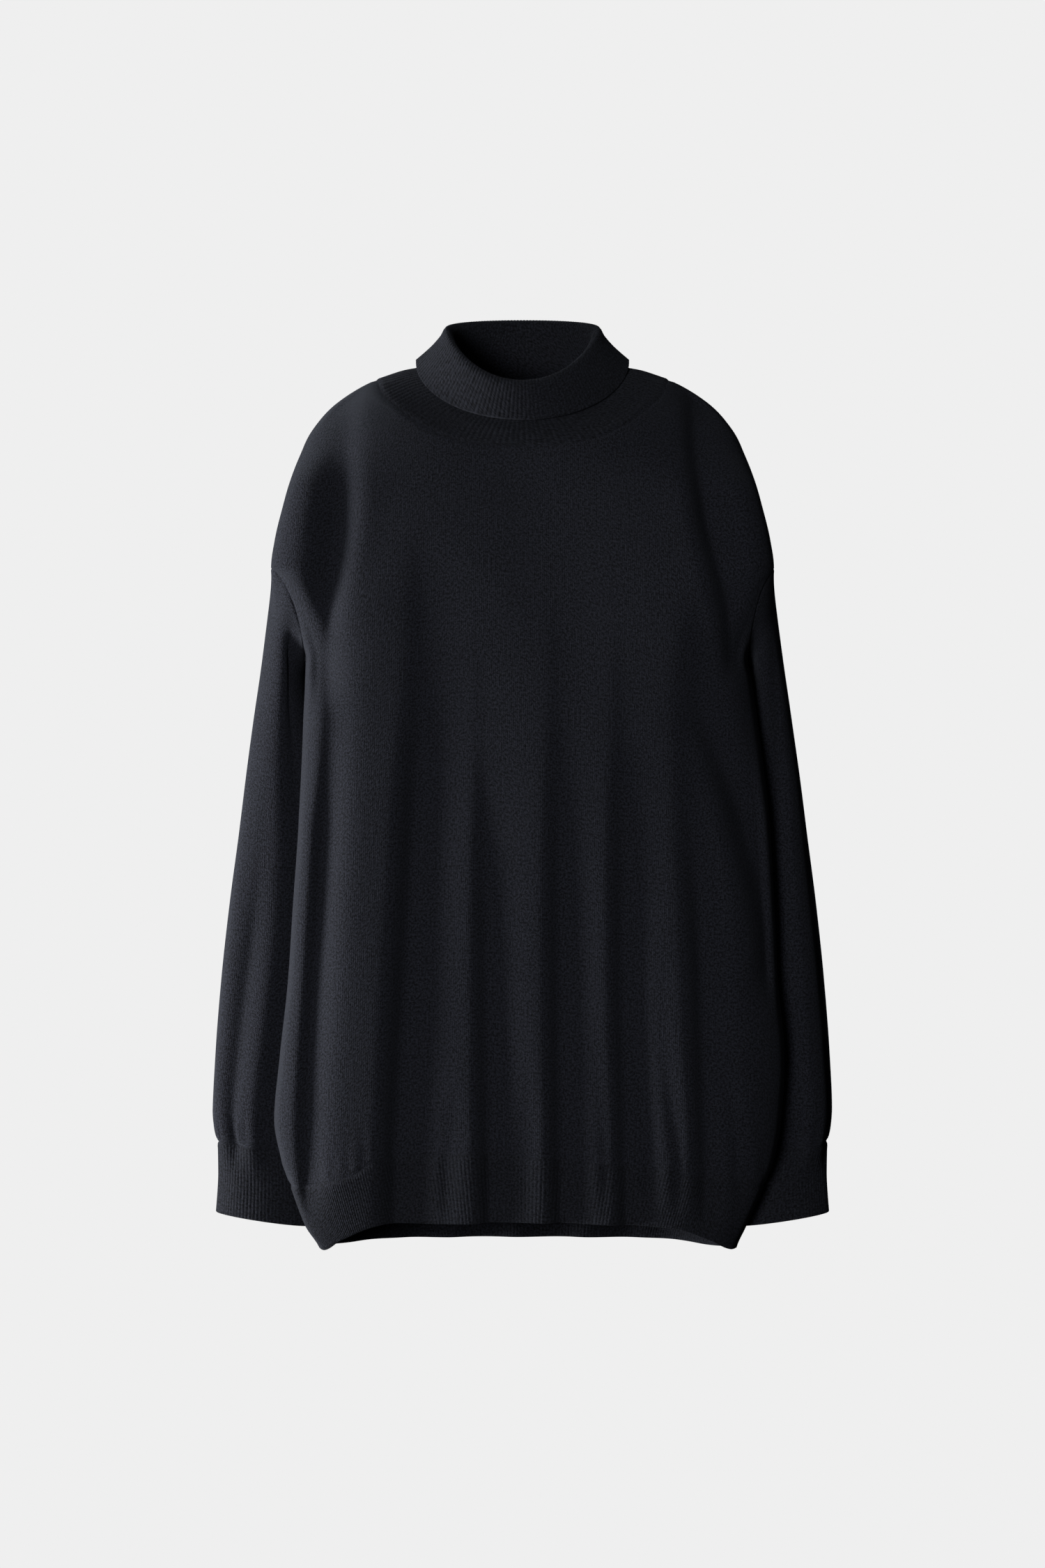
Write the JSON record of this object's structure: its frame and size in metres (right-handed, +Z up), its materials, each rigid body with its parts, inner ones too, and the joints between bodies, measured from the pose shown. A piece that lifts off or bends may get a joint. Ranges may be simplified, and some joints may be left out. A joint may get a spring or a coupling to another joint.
{
  "type": "turtleneck sweater",
  "caption": "Oversized fine knit sweater filled out with no wearer: ribbed roll collar, dropped shoulders, long sleeves with ribbed cuffs, ribbed hem.",
  "frame": {"origin": "middle of the neck at the height of the shoulder seams' inner ends, where the wearer's shoulders hold the sweater up", "axes": "+Z up along the wearer's spine, the front faces -Y, +X towards the wearer's left arm"},
  "size_m": [0.532, 0.2055, 0.8027],
  "materials": {
    "jersey": "fine dark jersey knit, matt with a soft nap",
    "rib_knit": "dark one by one rib knit, matt"
  },
  "bodies": {
    "root": {"front_panel": "jersey", "back_panel": "jersey", "sleeve_right": "jersey", "sleeve_left": "jersey", "cuff_right": "rib_knit", "cuff_left": "rib_knit", "hem_rib_front": "rib_knit", "hem_rib_back": "rib_knit", "roll_collar": "rib_knit"}
  },
  "joints": []
}
